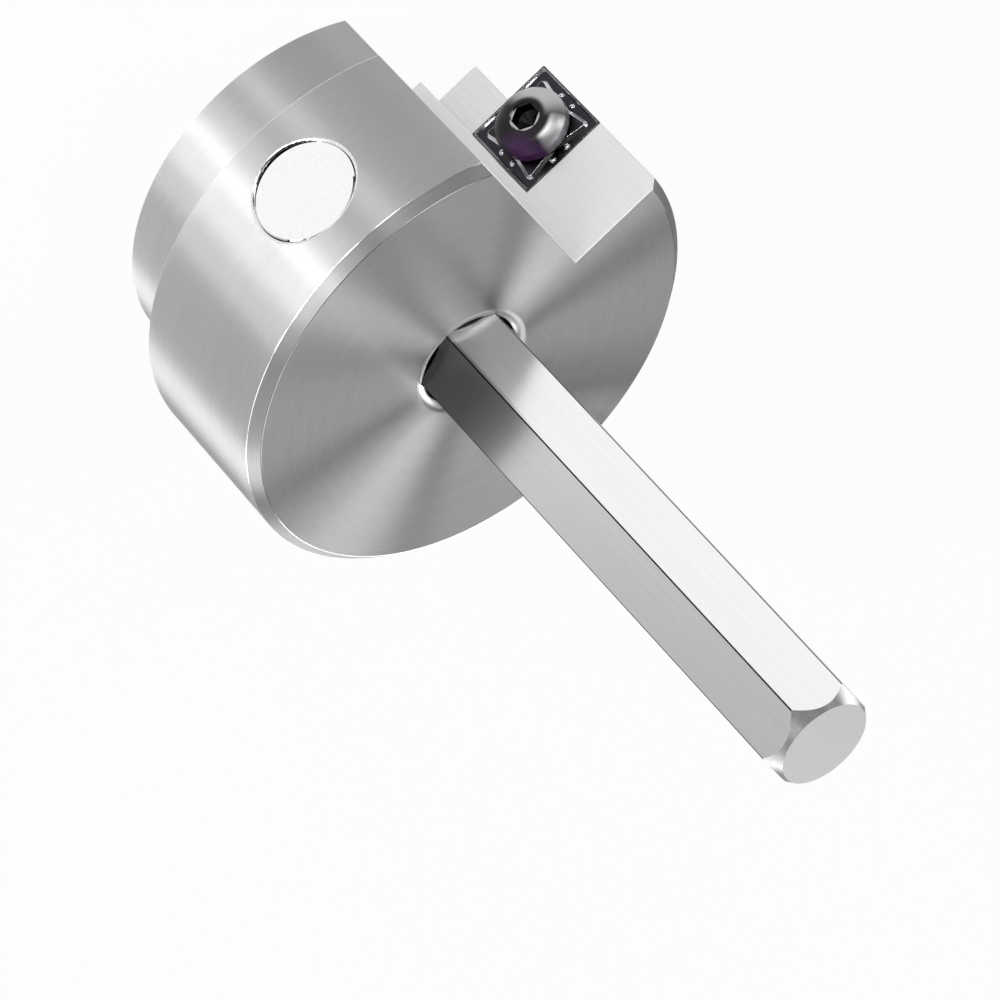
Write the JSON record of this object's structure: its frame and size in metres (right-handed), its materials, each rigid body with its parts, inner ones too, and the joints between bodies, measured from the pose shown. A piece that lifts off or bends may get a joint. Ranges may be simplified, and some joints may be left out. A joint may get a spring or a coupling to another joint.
{
  "type": "pipe reamer",
  "caption": "Pipe reamer with a stepped steel head, a piloting nose, a chip gullet with a screwed-in square cutting insert, and a hexagonal drive shank.",
  "frame": {"origin": "centre of the pilot nose's end face, on which the tool stands", "axes": "+Z along the shank, from the nose to the driven end; +X lies in the flat that the insert is sunk into, towards its cutting edge; +Y is that flat's outward normal"},
  "size_m": [0.0483, 0.0482, 0.0833],
  "materials": {
    "turned_steel": "fine turned",
    "polished_steel": "polished",
    "bright_pin": "polished",
    "coated_carbide": "satin coated carbide",
    "black_steel": "black oxide"
  },
  "bodies": {
    "root": {"reamer_head": "turned_steel", "hex_shank": "polished_steel", "lock_pin": "bright_pin", "carbide_insert": "coated_carbide", "insert_screw": "black_steel"}
  },
  "joints": []
}
